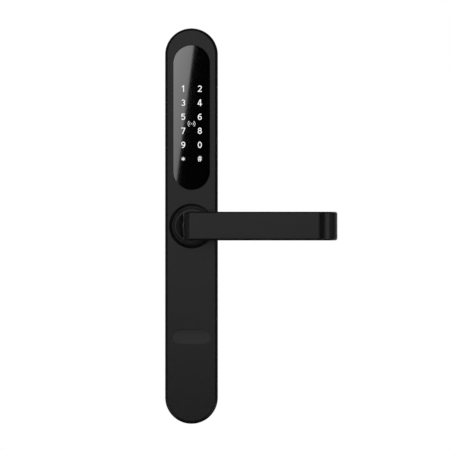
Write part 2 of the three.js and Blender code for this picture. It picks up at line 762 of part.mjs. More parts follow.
add("touch_glass", touchGlass(), BLACK_GLASS);
add("glass_tape", glassTape(), RUBBER);
add("touch_board", touchBoard(), CIRCUIT);
add("card_antenna", cardAntenna(), COPPER);
add("main_board", mainBoard(), CIRCUIT);
const boardSeat = MAIN_BOARD.front + MAIN_BOARD.thick + GAP;
addScrews("board_screw", BOARD_SCREWS, boardSeat, () => panScrew(0.85, 5.5, 1.9, 1.2), STEEL);
add("buzzer", rod(6, -17.4, MAIN_BOARD.front - GAP, 0, 108, 24), POLYMER);
add("board_link", block([-5, 5], [FACE_BACK - GAP, MAIN_BOARD.front - GAP], [118.5, 121.5]), POLYMER);
add("cable_socket", cableSocket(), NYLON);
add("power_port", powerPort(), STEEL);
add("port_board", portBoard(), CIRCUIT);

add("rosette", rosette(), BLACK_COAT);
add("hub_bush", hubBush(), NYLON);
add("spring_cassette", springCassette(), STEEL);
const cassetteSeat = CASSETTE.front + 1.2 + GAP;
addScrews("cassette_screw", CASSETTE_SCREWS, cassetteSeat, () => panScrew(1.15, 5.2, 2.3, 1.4), STEEL);
add("return_spring", returnSpring(), STEEL);

add("lever_handle", leverHandle(), BLACK_COAT);
add("handle_collar", handleCollar(), BLACK_COAT);
add("lever_shank", leverShank(), STEEL);
add("grub_screw", grubScrew(), STEEL);
add("retaining_ring", retainingRing(), STEEL);
add("stop_cam", stopCam(), STEEL);

add("clutch_ring", clutchRing(), STEEL);
add("clutch_follower", clutchFollower(), STEEL);
add("spindle", spindle(), STEEL);
add("clutch_solenoid", clutchSolenoid(), POLYMER);
add("solenoid_plunger", solenoidPlunger(), STEEL);
add("shift_fork", shiftFork(), STEEL);

add("keyhole_shutter", keyholeShutter(), BLACK_COAT);
add("shutter_guide", shutterGuide(), STEEL);
add("key_cylinder", keyCylinder(), BRASS);
addScrews("cylinder_screw", CYLINDER_SCREWS, 0, () => countersunkScrew(1.4, 4.5), STEEL);
add("cylinder_plug", cylinderPlug(), BRASS);
add("plug_clip", plugClip(), STEEL);
add("tail_bar", tailBar(), STEEL);

export default lock;
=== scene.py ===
import json
import math

import bmesh
import bpy
from mathutils import Matrix, Vector


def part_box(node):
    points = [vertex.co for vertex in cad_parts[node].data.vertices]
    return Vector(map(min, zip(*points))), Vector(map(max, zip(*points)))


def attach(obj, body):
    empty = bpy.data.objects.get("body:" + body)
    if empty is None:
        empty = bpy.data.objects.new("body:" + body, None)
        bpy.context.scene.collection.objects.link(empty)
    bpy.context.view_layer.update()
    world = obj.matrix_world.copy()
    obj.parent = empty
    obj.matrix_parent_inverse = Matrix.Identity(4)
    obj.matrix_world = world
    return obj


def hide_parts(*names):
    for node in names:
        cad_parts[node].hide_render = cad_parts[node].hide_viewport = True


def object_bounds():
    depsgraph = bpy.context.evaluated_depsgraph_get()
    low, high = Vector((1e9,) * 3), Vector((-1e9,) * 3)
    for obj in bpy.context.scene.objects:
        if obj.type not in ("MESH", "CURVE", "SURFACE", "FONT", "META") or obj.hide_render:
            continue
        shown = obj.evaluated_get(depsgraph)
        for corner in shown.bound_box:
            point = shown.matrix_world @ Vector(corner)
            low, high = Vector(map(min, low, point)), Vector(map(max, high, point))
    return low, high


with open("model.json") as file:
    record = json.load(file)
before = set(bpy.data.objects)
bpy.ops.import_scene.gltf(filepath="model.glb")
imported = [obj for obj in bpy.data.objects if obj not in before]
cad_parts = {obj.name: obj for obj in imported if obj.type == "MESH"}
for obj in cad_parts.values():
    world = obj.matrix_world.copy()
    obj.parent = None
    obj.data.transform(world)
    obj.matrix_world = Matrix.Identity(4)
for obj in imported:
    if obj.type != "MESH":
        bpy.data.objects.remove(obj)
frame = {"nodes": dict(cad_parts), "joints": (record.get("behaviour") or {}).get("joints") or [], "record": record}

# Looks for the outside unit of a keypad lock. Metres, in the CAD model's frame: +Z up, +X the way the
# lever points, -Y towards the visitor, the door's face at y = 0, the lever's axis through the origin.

MM = 0.001
TINY = 1e-9  # lengths below this count as nothing
OVER = 1 * MM  # how far a tool reaches past what it cuts
HOLE_START = 2 * MM  # how far in front of its face a hole's tool starts
CORNER_SHARE = 0.49  # the most of a side's length that one rounded corner takes
CAD_LOW, CAD_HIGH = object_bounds()
SCENE = bpy.context.scene


def middle(node):
    """The middle of a CAD node's box."""
    low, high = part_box(node)
    return (low + high) / 2


# --------------------------------------------
# Outlines: lists of (u, v) points, anticlockwise
# --------------------------------------------


def arc(u, v, radius, start, end, steps):
    """Points on an arc about (u, v), both ends included. Angles are in degrees."""
    points = []
    for i in range(steps + 1):
        angle = math.radians(start + (end - start) * i / steps)
        points.append((u + radius * math.cos(angle), v + radius * math.sin(angle)))
    return points


def pill(width, height, u=0.0, v=0.0, steps=48):
    """A slot with round ends, upright or lying."""
    radius = min(width, height) / 2
    run = abs(height - width) / 2
    if height > width:
        return arc(u, v + run, radius, 0, 180, steps) + arc(u, v - run, radius, 180, 360, steps)
    return arc(u + run, v, radius, -90, 90, steps) + arc(u - run, v, radius, 90, 270, steps)


def rectangle(width, height, radius, u=0.0, v=0.0, steps=6):
    """A rectangle with rounded corners."""
    right = width / 2 - radius
    top = height / 2 - radius
    corners = [(right, top, 0), (-right, top, 90), (-right, -top, 180), (right, -top, 270)]
    points = []
    for du, dv, start in corners:
        points += arc(u + du, v + dv, radius, start, start + 90, steps)
    return points


def circle(radius, u=0.0, v=0.0, steps=48):
    return arc(u, v, radius, 0, 360, steps)[:-1]


def inset(outline, distance):
    """The outline moved inwards by a distance, mitred at its corners."""
    if distance == 0:
        return list(outline)
    count = len(outline)
    moved = []
    for i, (u, v) in enumerate(outline):
        before = Vector(outline[i]) - Vector(outline[i - 1])
        after = Vector(outline[(i + 1) % count]) - Vector(outline[i])
        if before.length < TINY:
            before = Vector(outline[i - 1]) - Vector(outline[i - 2])
        if after.length < TINY:
            after = Vector(outline[(i + 2) % count]) - Vector(outline[(i + 1) % count])
        first = Vector((before.y, -before.x)).normalized()
        second = Vector((after.y, -after.x)).normalized()
        mitre = (first + second) / (1 + first.dot(second))
        moved.append((u - mitre.x * distance, v - mitre.y * distance))
    return moved


def quadratic(start, control, end, steps):
    """Points on a quadratic curve, both ends included."""
    points = []
    for i in range(steps + 1):
        t = i / steps
        points.append(tuple(start * (1 - t) ** 2 + control * 2 * t * (1 - t) + end * t * t))
    return points


def soften(points, steps=5, closed=False):
    """A line of (u, v) or (u, v, rounding) points with its corners rounded."""
    count = len(points)
    smooth = []
    for i, point in enumerate(points):
        rounding = point[2] if len(point) > 2 else 0
        is_end = not closed and i in (0, count - 1)
        here = Vector(point[:2])
        if rounding == 0 or is_end:
            smooth.append(tuple(here))
            continue
        back = Vector(points[i - 1][:2]) - here
        ahead = Vector(points[(i + 1) % count][:2]) - here
        reach = min(rounding, back.length * CORNER_SHARE, ahead.length * CORNER_SHARE)
        smooth += quadratic(here + back.normalized() * reach, here, here + ahead.normalized() * reach, steps)
    return smooth


# --------------------------------------------
# Solids
# --------------------------------------------


def new_object(name, bm):
    bmesh.ops.remove_doubles(bm, verts=bm.verts, dist=10 * TINY)
    bmesh.ops.recalc_face_normals(bm, faces=bm.faces)
    mesh = bpy.data.meshes.new(name)
    bm.to_mesh(mesh)
    bm.free()
    piece = bpy.data.objects.new(name, mesh)
    SCENE.collection.objects.link(piece)
    return piece


def skin(name, rings, closed=False):
    """A closed solid through rings of points, its ends capped or, if closed, joined to each other."""
    bm = bmesh.new()
    loops = [[bm.verts.new(p) for p in ring] for ring in rings]
    pairs = list(zip(loops, loops[1:]))
    if closed:
        pairs.append((loops[-1], loops[0]))
    for near, far in pairs:
        for i in range(len(near)):
            j = (i + 1) % len(near)
            bm.faces.new((near[i], near[j], far[j], far[i]))
    if not closed:
        bm.faces.new(loops[0])
        bm.faces.new(loops[-1])
    return new_object(name, bm)


def rim(radius, steps=6):
    """(depth, inset) pairs of a quarter-round rim, from its face to its side."""
    pairs = []
    for i in range(steps + 1):
        angle = math.pi / 2 * i / steps
        pairs.append((radius * (1 - math.cos(angle)), radius * (1 - math.sin(angle))))
    return pairs


def slab_levels(low, high, round_low, round_high):
    """(place, inset) pairs of a slab between two places with rounded rims."""
    start = [(low + depth, step) for depth, step in rim(round_low)] if round_low else [(low, 0)]
    end = [(high - depth, step) for depth, step in reversed(rim(round_high))] if round_high else [(high, 0)]
    return start + end


def stack_y(name, outline, levels):
    """A solid through an outline in x and z, taken at each (y, inset) level."""
    return skin(name, [[(u, y, v) for u, v in inset(outline, step)] for y, step in levels])


def slab_y(name, outline, front, back, round_front=0.0, round_back=0.0):
    """An outline in x and z made solid between two y values."""
    return stack_y(name, outline, slab_levels(front, back, round_front, round_back))


def slab_z(name, outline, low, high, round_low=0.0, round_high=0.0):
    """An outline in x and y made solid between two z values."""
    levels = slab_levels(low, high, round_low, round_high)
    return skin(name, [[(u, v, z) for u, v in inset(outline, step)] for z, step in levels])


def cutter_y(outline, front, back, flare=0.0):
    """A tool that opens a hole in a front face at y = front, with a softly broken edge of width flare."""
    levels = [(back, 0), (front, 0)]
    if flare:
        knee = (front + flare * 0.35, -flare * 0.3)
        levels = [(back, 0), (front + flare, 0), knee, (front, -flare)]
    levels.append((front - HOLE_START, levels[-1][1]))
    return stack_y("cutter", outline, levels)


def lathe(name, profile, x=0.0, z=0.0, steps=96, ring=False):
    """A profile of (radius, y) points turned about an axis along y. A ring's profile closes on itself."""
    bm = bmesh.new()
    columns = []
    for radius, y in profile:
        if radius < TINY:
            columns.append([bm.verts.new((x, y, z))])
            continue
        column = []
        for u, v in circle(radius, x, z, steps):
            column.append(bm.verts.new((u, y, v)))
        columns.append(column)
    pairs = list(zip(columns, columns[1:]))
    if ring:
        pairs.append((columns[-1], columns[0]))
    for near, far in pairs:
        for i in range(steps):
            j = (i + 1) % steps
            corners = [near[i % len(near)], near[j % len(near)], far[j % len(far)], far[i % len(far)]]
            unique = list(dict.fromkeys(corners))
            if len(unique) > 2:
                bm.faces.new(unique)
    return new_object(name, bm)


def box(low, high):
    """A box-shaped tool between two corners."""
    (x0, y0, z0), (x1, y1, z1) = low, high
    return slab_y("cutter", [(x0, z0), (x1, z0), (x1, z1), (x0, z1)], y0, y1)


def rod(radius, front, back, x=0.0, z=0.0, steps=64):
    """A round tool along y."""
    return slab_y("rod", circle(radius, x, z, steps), front, back)


def combine(body, tools, operation="DIFFERENCE"):
    """Cuts the tools out of the body, or joins them to it, and removes them."""
    for tool in tools:
        modifier = body.modifiers.new("combine", "BOOLEAN")
        modifier.operation = operation
        modifier.solver = "EXACT"
        modifier.object = tool
    evaluated = body.evaluated_get(bpy.context.evaluated_depsgraph_get())
    mesh = bpy.data.meshes.new_from_object(evaluated)
    old = body.data
    body.modifiers.clear()
    body.data = mesh
    mesh.name = body.name
    bpy.data.meshes.remove(old)
    for tool in tools:
        bpy.data.objects.remove(tool)
    return body


def shade(piece, degrees=32):
    """Smooth shading that breaks at edges sharper than an angle, with flat faces kept flat."""
    bm = bmesh.new()
    bm.from_mesh(piece.data)
    for face in bm.faces:
        face.smooth = True
    for edge in bm.edges:
        edge.smooth = edge.is_manifold and edge.calc_face_angle() < math.radians(degrees)
    bm.to_mesh(piece.data)
    bm.free()
    weighted = piece.modifiers.new("flat faces", "WEIGHTED_NORMAL")
    weighted.keep_sharp = True


def place(piece, material, body, slot, *nodes):
    """Finishes a piece: its material, the body it moves with and the nodes it replaces. Its slot is not used."""
    piece.data.materials.clear()
    piece.data.materials.append(material)
    shade(piece)
    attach(piece, body)
    if nodes:
        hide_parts(*nodes)


# --------------------------------------------
# Materials
# --------------------------------------------

NOISE_SPAN = (0.3, 0.7)  # where nearly all values of a noise lie


def map_range(tree, source, span, low, high):
    """Maps a value in a node tree from a span to the range low..high."""
    node = tree.nodes.new("ShaderNodeMapRange")
    node.inputs["From Min"].default_value = span[0]
    node.inputs["From Max"].default_value = span[1]
    node.inputs["To Min"].default_value = low
    node.inputs["To Max"].default_value = high
    tree.links.new(source, node.inputs["Value"])
    return node.outputs["Result"]


def product(tree, first, second):
    """Multiplies two values in a node tree."""
    node = tree.nodes.new("ShaderNodeMath")
    node.operation = "MULTIPLY"
    tree.links.new(first, node.inputs[0])
    tree.links.new(second, node.inputs[1])
    return node.outputs["Value"]


class Surface:
    """A material with helpers for its nodes. Texture places are in metres on the piece itself."""

    def __init__(self, name, color, roughness, metallic=0.0, ior=1.5):
        self.material = bpy.data.materials.new(name)
        self.material.use_nodes = True
        self.tree = self.material.node_tree
        self.nodes = self.tree.nodes
        self.links = self.tree.links
        self.shader = self.nodes["Principled BSDF"]
        self.set("Base Color", (*color, 1))
        self.set("Roughness", roughness)
        self.set("Metallic", metallic)
        self.set("IOR", ior)
        self.where = self.nodes.new("ShaderNodeTexCoord").outputs["Object"]

    def set(self, socket, value):
        self.shader.inputs[socket].default_value = value

    def stretched(self, scale):
        mapping = self.nodes.new("ShaderNodeMapping")
        mapping.inputs["Scale"].default_value = scale
        self.links.new(self.where, mapping.inputs["Vector"])
        return mapping.outputs["Vector"]

    def noise(self, size, detail=3.0, stretch=None):
        """Noise whose features are about this size."""
        node = self.nodes.new("ShaderNodeTexNoise")
        node.inputs["Scale"].default_value = 1 / size
        node.inputs["Detail"].default_value = detail
        self.links.new(self.stretched(stretch) if stretch else self.where, node.inputs["Vector"])
        return node.outputs["Fac"]

    def borders(self, size):
        """The distance to the nearest border between cells of about this size."""
        node = self.nodes.new("ShaderNodeTexVoronoi")
        node.feature = "DISTANCE_TO_EDGE"
        node.inputs["Scale"].default_value = 1 / size
        self.links.new(self.where, node.inputs["Vector"])
        return node.outputs["Distance"]

    def tint(self, source, first, second, span=NOISE_SPAN):
        """Colours the surface between two colours as the source goes through its span."""
        node = self.nodes.new("ShaderNodeValToRGB")
        for element, position, color in zip(node.color_ramp.elements, span, (first, second)):
            element.position = position
            element.color = (*color, 1)
        self.links.new(source, node.inputs["Fac"])
        self.links.new(node.outputs["Color"], self.shader.inputs["Base Color"])

    def vary_roughness(self, source, low, high):
        self.links.new(map_range(self.tree, source, NOISE_SPAN, low, high), self.shader.inputs["Roughness"])

    def bump(self, source, depth, strength=1.0):
        node = self.nodes.new("ShaderNodeBump")
        node.inputs["Distance"].default_value = depth
        node.inputs["Strength"].default_value = strength
        self.links.new(source, node.inputs["Height"])
        self.links.new(node.outputs["Normal"], self.shader.inputs["Normal"])


def grey(value):
    return (value, value, value)


def scaled(tone, share):
    return tuple(min(1, channel * share) for channel in tone)


def powder_coat(name, tone):
    """Fine satin black powder coat: a shallow grain with slow changes of gloss."""
    surface = Surface(name, grey(tone), 0.3)
    surface.tint(surface.noise(18 * MM), grey(tone * 0.9), grey(tone * 1.1))
    surface.vary_roughness(surface.noise(1.1 * MM, detail=4), 0.235, 0.26)
    surface.bump(surface.noise(0.32 * MM, detail=2), 0.0013 * MM)
    return surface.material


def panel_glass():
    """Polished glass, black behind, with the faint smear of wiped fingerprints in its gloss."""
    surface = Surface("black_glass", grey(0.001), 0.04, ior=1.52)
    surface.tint(surface.noise(30 * MM), grey(0.0008), grey(0.0012))
    surface.vary_roughness(surface.noise(9 * MM, detail=5, stretch=(1, 1, 0.4)), 0.034, 0.042)
    return surface.material


def legend_ink():
    """White legend, lit from behind."""
    surface = Surface("legend_white", grey(0.8), 0.4)
    surface.tint(surface.noise(0.5 * MM), grey(0.74), grey(0.86))
    surface.set("Emission Color", (0.93, 0.96, 1, 1))
    surface.set("Emission Strength", 0.8)
    return surface.material


def plated_steel(name, tone=(0.5, 0.505, 0.51), roughness=0.34):
    """Bright zinc on rolled steel: streaks along the sheet and a cloudy passivation tint."""
    surface = Surface(name, tone, roughness, metallic=1.0)
    warm = tuple(channel * share for channel, share in zip(tone, (1.02, 0.99, 0.93)))
    cool = tuple(channel * share for channel, share in zip(tone, (0.93, 0.97, 1.03)))
    surface.tint(surface.noise(14 * MM, detail=4), warm, cool)
    streaks = surface.noise(1.2 * MM, detail=5, stretch=(14, 1, 1))
    surface.vary_roughness(streaks, roughness - 0.07, roughness + 0.1)
    surface.bump(streaks, 0.006 * MM, 0.5)
    return surface.material


def turned_metal(name, tone, roughness=0.28):
    """Machined metal with fine circular marks about y."""
    surface = Surface(name, tone, roughness, metallic=1.0)
    marks = surface.noise(0.25 * MM, detail=4, stretch=(1, 6, 1))
    surface.tint(surface.noise(5 * MM), scaled(tone, 0.9), scaled(tone, 1.06))
    surface.vary_roughness(marks, roughness - 0.06, roughness + 0.1)
    surface.bump(marks, 0.004 * MM, 0.6)
    return surface.material


def moulded(name, tone, roughness=0.5, grain=0.25 * MM, depth=0.01 * MM):
    """Moulded plastic or rubber with a fine spark-eroded grain."""
    surface = Surface(name, tone, roughness)
    surface.tint(surface.noise(4 * MM), scaled(tone, 0.88), scaled(tone, 1.1))
    surface.vary_roughness(surface.noise(grain * 3), roughness - 0.06, roughness + 0.08)
    surface.bump(surface.noise(grain, detail=2), depth)
    return surface.material


def solder_mask(name):
    """Circuit board: green mask with lighter tracks under it."""
    surface = Surface(name, (0.01, 0.08, 0.035), 0.35)
    surface.set("Coat Weight", 0.3)
    surface.set("Coat Roughness", 0.2)
    tracks = surface.borders(3.2 * MM)
    surface.tint(tracks, (0.03, 0.16, 0.07), (0.008, 0.07, 0.03), span=(0.03, 0.06))
    surface.vary_roughness(surface.noise(0.8 * MM), 0.3, 0.42)
    surface.bump(tracks, 0.02 * MM, 0.4)
    return surface.material


COAT = powder_coat("black_coat", 0.009)
GLASS = panel_glass()
INK = legend_ink()
STEEL = plated_steel("plated_steel")
DARK_STEEL = plated_steel("black_oxide_steel", (0.06, 0.06, 0.065), 0.4)
TURNED = turned_metal("turned_steel", (0.55, 0.55, 0.56))
BRASS = turned_metal("turned_brass", (0.62, 0.47, 0.2))
COPPER = turned_metal("etched_copper", (0.62, 0.3, 0.16), 0.35)
CONTACT = turned_metal("gold_contact", (0.75, 0.58, 0.25), 0.22)
RUBBER = moulded("black_rubber", grey(0.018), 0.75, 0.4 * MM, 0.02 * MM)
POLYMER = moulded("dark_polymer", grey(0.022), 0.5)
NYLON = moulded("natural_nylon", (0.68, 0.65, 0.56), 0.45)
BOARD = solder_mask("solder_mask")

# --------------------------------------------
# Case, rosette, glass and legends
# --------------------------------------------

CASE_LOW, CASE_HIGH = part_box("front_case")
CASE_FRONT = CASE_LOW.y
CASE_WIDTH = CASE_HIGH.x - CASE_LOW.x
CASE_HEIGHT = CASE_HIGH.z - CASE_LOW.z
CASE_RIM = 2.3 * MM
CASE_WALL = 2.4 * MM
FACE_BACK = CASE_FRONT + 3.2 * MM
HUB_BORE = 12.5 * MM
GLASS_LOW, GLASS_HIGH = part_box("touch_glass")
GLASS_WIDTH = GLASS_HIGH.x - GLASS_LOW.x
GLASS_HEIGHT = GLASS_HIGH.z - GLASS_LOW.z
GLASS_Z = middle("touch_glass").z
GLASS_GAP = 0.2 * MM
TAPE_THICK = 0.35 * MM
SHUTTER_LOW, SHUTTER_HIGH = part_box("keyhole_shutter")
SHUTTER_Z = middle("keyhole_shutter").z
WINDOW_WIDTH = 29 * MM
WINDOW_HEIGHT = 11 * MM
DISH_DEPTH = 0.8 * MM
SHUTTER_JOINT = next(joint for joint in frame["joints"] if joint["name"] == "shutter_slide")
SHUTTER_TRAVEL = SHUTTER_JOINT["range_m"][1]
PORT_LOW, PORT_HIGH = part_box("power_port")
PORT_Y = middle("power_port").y
PORT_GAP = 0.3 * MM


def make_case():
    shell = pill(CASE_WIDTH, CASE_HEIGHT, steps=96)
    body = slab_y("case_shell", shell, CASE_FRONT, CASE_HIGH.y, round_front=CASE_RIM, round_back=0.2 * MM)
    inside = pill(CASE_WIDTH - 2 * CASE_WALL, CASE_HEIGHT - 2 * CASE_WALL)
    # A hole's tool starts in front of the y it is given, so this one starts at the back of the case's face.
    cavity = cutter_y(inside, FACE_BACK + HOLE_START, OVER)
    pocket = pill(GLASS_WIDTH + 2 * GLASS_GAP, GLASS_HEIGHT + 2 * GLASS_GAP, v=GLASS_Z, steps=64)
    glass_pocket = cutter_y(pocket, CASE_FRONT, GLASS_HIGH.y + TAPE_THICK, flare=0.12 * MM)
    board_room = pill(width=24 * MM, height=106 * MM, v=GLASS_Z)
    board_window = cutter_y(board_room, CASE_FRONT + HOLE_START, FACE_BACK + OVER)
    bore = cutter_y(circle(HUB_BORE, steps=96), CASE_FRONT, FACE_BACK + OVER)
    window = pill(WINDOW_WIDTH, WINDOW_HEIGHT, v=SHUTTER_Z, steps=32)
    keyhole = cutter_y(window, CASE_FRONT, FACE_BACK + OVER, flare=0.1 * MM)
    gap = 0.05 * MM
    wide_gap = 0.15 * MM
    track = box(
        (SHUTTER_LOW.x - wide_gap, SHUTTER_LOW.y - gap, SHUTTER_LOW.z - gap),
        (SHUTTER_HIGH.x + wide_gap, FACE_BACK + OVER, SHUTTER_HIGH.z + SHUTTER_TRAVEL + wide_gap),
    )
    mouth_width = PORT_HIGH.x - PORT_LOW.x + 2 * PORT_GAP
    mouth_height = PORT_HIGH.y - PORT_LOW.y + 2 * PORT_GAP
    mouth_outline = pill(mouth_width, mouth_height, v=PORT_Y, steps=16)
    mouth = slab_z("cutter", mouth_outline, CASE_LOW.z - 2 * MM, CASE_LOW.z + 5 * MM)
    combine(body, [cavity, glass_pocket, board_window, bore, keyhole, track, mouth])
    place(body, COAT, "case", "black_coat", "front_case")


def make_glass():
    outline = pill(GLASS_WIDTH, GLASS_HEIGHT, v=GLASS_Z, steps=96)
    panel = slab_y("touch_panel", outline, GLASS_LOW.y, GLASS_HIGH.y, 0.25 * MM, 0.1 * MM)
    place(panel, GLASS, "case", "black_glass", "touch_glass")


KEY_COLUMN_X = 6.3 * MM
KEY_TOP_Z = 104.2 * MM
KEY_PITCH = 10.65 * MM
LEGEND_RELIEF = 0.03 * MM
LEGEND_STROKE = 0.66 * MM
FINE_STROKE = 0.72 * LEGEND_STROKE
SHORTEST_COSINE = 0.5  # a stroke's mitre reaches at most twice its half width


def oval(u, v, half_width, half_height, start=0, end=360, steps=40):
    points = arc(0, 0, 1, start, end, steps)
    return [(u + x * half_width, v + y * half_height) for x, y in points]


def half_turn(strokes):
    return [[(-u, -v) for u, v in stroke] for stroke in strokes]


# Each key's character as strokes in millimetres about its centre. A stroke that ends where it starts
# is a loop.
SIX = [
    oval(0, -0.87, 1.17, 1.2),
    quadratic(Vector((-1.17, -0.95)), Vector((-1.3, 2.2)), Vector((1.05, 2.0)), 14),
]
STAR_ENDS = [(1.5 * math.cos(turn), 1.5 * math.sin(turn)) for turn in (0.52, 1.57, 2.62)]
LEGENDS = {
    "1": [[(-0.95, 1.25), (0.3, 2.1)], [(0.3, 2.5), (0.3, -2.5)]],
    "2": [oval(0, 0.95, 1.15, 1.12, 165, -35) + [(-1.1, -2.1)], [(-1.5, -2.075), (1.45, -2.075)]],
    "3": [oval(-0.05, 1.03, 1.1, 1.04, 150, -85), oval(-0.05, -0.95, 1.22, 1.13, 85, -152)],
    "4": [[(0.35, 2.35), (-1.35, -1.0)], [(-1.65, -1.15), (1.6, -1.15)], [(0.6, 2.5), (0.6, -2.5)]],
    "5": [
        [(-1.1, 2.075), (1.3, 2.075)],
        [(-0.92, 2.3), (-1.12, 0.0)],
        oval(-0.05, -0.72, 1.25, 1.36, 140, -150),
    ],
    "6": SIX,
    "7": [[(-1.5, 2.075), (1.5, 2.075)], [(1.25, 2.2), (-0.5, -2.5)]],
    "8": [oval(0, 1.05, 1.02, 1.02), oval(0, -0.95, 1.2, 1.12)],
    "9": half_turn(SIX),
    "0": [oval(0, 0, 1.2, 2.075)],
    "star": [[(u, v), (-u, -v)] for u, v in STAR_ENDS],
    "hash": [
        [(-0.85, -2.1), (-0.35, 2.1)],
        [(0.35, -2.1), (0.85, 2.1)],
        [(-1.6, 0.72), (1.6, 0.72)],
        [(-1.6, -0.72), (1.6, -0.72)],
    ],
}
KEYS = [("1", "2"), ("3", "4"), ("5", "6"), ("7", "8"), ("9", "0"), ("star", "hash")]


def stroke_solid(name, line, width, x, z):
    """A stroke as wide as width along a line in millimetres, raised off the glass."""
    line = [(x + u * MM, z + v * MM) for u, v in line]
    front = GLASS_LOW.y - LEGEND_RELIEF
    back = GLASS_LOW.y
    is_loop = (Vector(line[0]) - Vector(line[-1])).length < 0.01 * MM
    if is_loop:
        outer = inset(line[:-1], -width / 2)
        inner = inset(line[:-1], width / 2)
        places = [(outer, front), (outer, back), (inner, back), (inner, front)]
        return skin(name, [[(u, y, v) for u, v in outline] for outline, y in places], closed=True)
    left = []
    right = []
    for i, point in enumerate(line):
        here = Vector(point)
        ahead = (Vector(line[min(i + 1, len(line) - 1)]) - here).normalized()
        behind = (here - Vector(line[max(i - 1, 0)])).normalized()
        along = (ahead + behind).normalized()
        side = Vector((-along.y, along.x))
        straight = ahead if i == 0 else behind
        reach = width / 2 / max(SHORTEST_COSINE, side.dot(Vector((-straight.y, straight.x))))
        left.append(tuple(here + side * reach))
        right.append(tuple(here - side * reach))
    return slab_y(name, left + right[::-1], front, back)


def make_legend(character, x, z):
    """One key's character on the glass, centred on its key."""
    width = FINE_STROKE if character in ("star", "hash") else LEGEND_STROKE
    parts = [stroke_solid("legend_" + character, line, width, x, z) for line in LEGENDS[character]]
    place(combine(parts[0], parts[1:], "UNION"), INK, "case", "legend")


def make_card_mark():
    """The mark that shows where to hold a card: a dot between two pairs of arcs."""
    centre_z = KEY_TOP_Z - 2.5 * KEY_PITCH
    front = GLASS_LOW.y - LEGEND_RELIEF
    dot_radius = 0.32 * MM
    half_stroke = 0.16 * MM
    parts = [slab_y("card_mark", circle(dot_radius, 0, centre_z, 24), front, GLASS_LOW.y)]
    for side in (0, 180):
        for radius, reach in ((1.5 * MM, 42), (2.7 * MM, 50)):
            start = side - reach
            end = side + reach
            outer = arc(0, centre_z, radius + half_stroke, start, end, 16)
            inner = arc(0, centre_z, radius - half_stroke, end, start, 16)
            parts.append(slab_y("stroke", outer + inner, front, GLASS_LOW.y))
    place(combine(parts[0], parts[1:], "UNION"), INK, "case", "legend")


def make_rosette():
    low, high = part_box("rosette")
    outer = high.x
    inner = 13.9 * MM
    profile = [
        (inner, low.y, 0.35 * MM),
        (inner + 0.85 * MM, low.y, 0.4 * MM),
        (outer, high.y - 0.7 * MM, 0.5 * MM),
        (outer, high.y),
        (inner, high.y),
    ]
    ring = lathe("rosette_ring", soften(profile, closed=True), steps=128, ring=True)
    place(ring, COAT, "case", "black_coat", "rosette")


make_case()
make_glass()
for row, pair in enumerate(KEYS):
    for character, column_x in zip(pair, (-KEY_COLUMN_X, KEY_COLUMN_X)):
        make_legend(character, column_x, KEY_TOP_Z - row * KEY_PITCH)
make_card_mark()
make_rosette()

# --------------------------------------------
# Lever
# --------------------------------------------

LEVER_LOW, LEVER_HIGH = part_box("lever_handle")
LEVER_THICK = 9 * MM
LEVER_TIP_Y = -42 * MM
LEFT_BEND = 5.5 * MM
RIGHT_BEND = 15 * MM
NECK_CORNER = 3.5 * MM
TIP_ROUND = 3 * MM
LEVER_EDGE = 1.6 * MM


def lever_outline():
    """The bar seen from above: round the neck's bend, along the door, and back towards it at the free end."""
    front = LEVER_LOW.y
    base = LEVER_HIGH.y
    left = LEVER_LOW.x
    right = -left
    end = LEVER_HIGH.x
    leg = end - LEVER_THICK
    back = front + LEVER_THICK
    bend_x = end - RIGHT_BEND
    bend_y = front + RIGHT_BEND
    tip_y = LEVER_TIP_Y - TIP_ROUND
    outline = [(right, base), (left, base)]
    outline += arc(left + LEFT_BEND, front + LEFT_BEND, LEFT_BEND, 180, 270, 24)
    outline += arc(bend_x, bend_y, RIGHT_BEND, -90, 0, 48)
    outline += arc(end - TIP_ROUND, tip_y, TIP_ROUND, 0, 90, 12)
    outline += arc(leg + TIP_ROUND, tip_y, TIP_ROUND, 90, 180, 12)
    outline += arc(bend_x, bend_y, RIGHT_BEND - LEVER_THICK, 0, -90, 32)
    outline += arc(right + NECK_CORNER, back + NECK_CORNER, NECK_CORNER, 270, 180, 16)
    return outline


GRUB_LOW, GRUB_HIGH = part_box("grub_screw")
GRUB_Y = middle("grub_screw").y
SHANK_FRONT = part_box("lever_shank")[0].y


def make_lever():
    bar = slab_z("lever_bar", lever_outline(), LEVER_LOW.z, LEVER_HIGH.z, LEVER_EDGE, LEVER_EDGE)
    socket_radius = 4.15 * MM
    socket = rod(socket_radius, SHANK_FRONT - 0.5 * MM, LEVER_HIGH.y + OVER)
    grub_outline = circle(2.15 * MM, 0, GRUB_Y, 48)
    grub_hole = slab_z("cutter", grub_outline, LEVER_LOW.z - OVER, -3 * MM)
    combine(bar, [socket, grub_hole])
    place(bar, COAT, "lever", "black_coat", "lever_handle")


def make_collar():
    """A cup round the neck's foot. Its front flares outwards as a quarter of an ellipse."""
    low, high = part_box("handle_collar")
    radius = high.x
    throat = 7 * MM
    flare_width = 5.6 * MM
    flare_depth = 8.6 * MM
    bore = 10.05 * MM
    floor = LEVER_HIGH.y
    profile = [(0, low.y)]
    for across, back in arc(0, 0, 1, 0, 90, 20):
        profile.append((throat + flare_width * (1 - across), low.y + flare_depth * back))
    profile += [
        (radius, low.y + 9.2 * MM, 0.5 * MM),
        (radius, high.y, 0.3 * MM),
        (bore, high.y),
        (bore, floor),
        (0, floor),
    ]
    collar = lathe("lever_collar", soften(profile), steps=128)
    gap = 0.2 * MM
    neck = rectangle(2 * (gap - LEVER_LOW.x), 2 * (LEVER_HIGH.z + gap), 1.2 * MM)
    combine(collar, [cutter_y(neck, low.y - OVER, floor + 0.1 * MM)])
    place(collar, COAT, "lever", "black_coat", "handle_collar")


